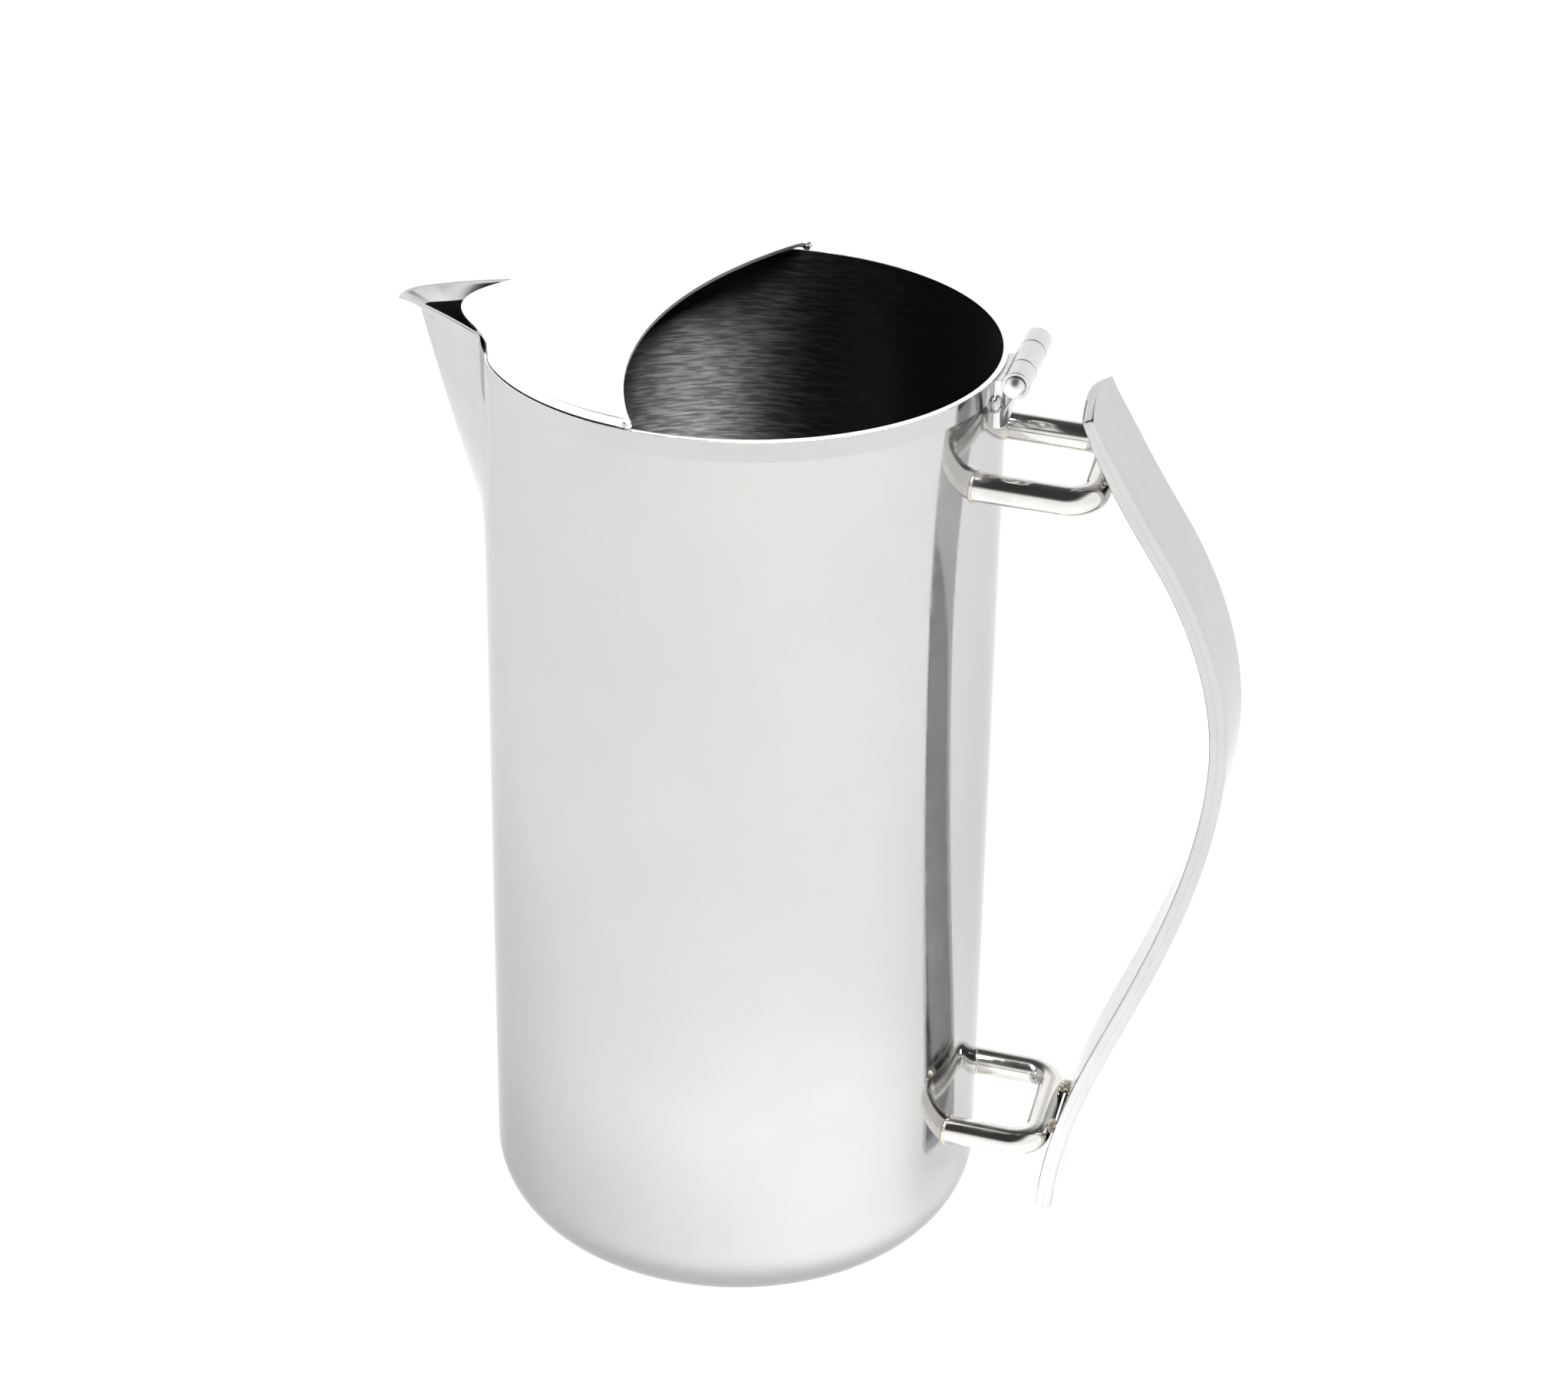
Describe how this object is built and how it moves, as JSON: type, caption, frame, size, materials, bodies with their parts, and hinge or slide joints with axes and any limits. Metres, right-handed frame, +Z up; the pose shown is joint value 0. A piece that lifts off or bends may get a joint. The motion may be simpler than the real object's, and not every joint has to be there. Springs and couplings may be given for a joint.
{
  "type": "water pitcher",
  "caption": "Cylindrical polished steel water pitcher with a folded V spout, an ice guard over the front of the mouth, a hinge barrel at the rim and a strap handle on bent-rod brackets.",
  "frame": {"origin": "centre of the flat base that the pitcher stands on", "axes": "+Z up along the body, -X towards the spout, +X towards the handle, +Y along the hinge axis"},
  "size_m": [0.1924, 0.1162, 0.2254],
  "materials": {
    "polished_steel": "mirror-polished stainless steel outside, satin inside the cup",
    "weld_steel": "weld bead with a faint straw tint, polished over"
  },
  "bodies": {
    "pitcher": {"body_shell": "polished_steel", "spout": "polished_steel", "ice_guard": "polished_steel", "guard_weld_near": "weld_steel", "guard_weld_far": "weld_steel", "hinge_leaf": "polished_steel", "leaf_weld_near": "weld_steel", "leaf_weld_far": "weld_steel", "upper_bracket": "polished_steel", "lower_bracket": "polished_steel", "upper_rod_weld_near": "weld_steel", "upper_rod_weld_far": "weld_steel", "lower_rod_weld_near": "weld_steel", "lower_rod_weld_far": "weld_steel", "handle_outer_shell": "polished_steel", "handle_inner_shell": "polished_steel", "upper_handle_weld_near": "weld_steel", "upper_handle_weld_far": "weld_steel", "lower_handle_weld_near": "weld_steel", "lower_handle_weld_far": "weld_steel"},
    "hinge_barrel": {"hinge_knuckle_near": "polished_steel", "hinge_knuckle_far": "polished_steel", "hinge_pin": "polished_steel", "ball_tip_near": "polished_steel", "ball_tip_far": "polished_steel"}
  },
  "joints": [
    {"name": "barrel_turn", "type": "hinge", "parent": "pitcher", "child": "hinge_barrel", "pos_m": [0.0628, 0, 0.2223], "axis": [0, -1, 0], "continuous": true}
  ]
}
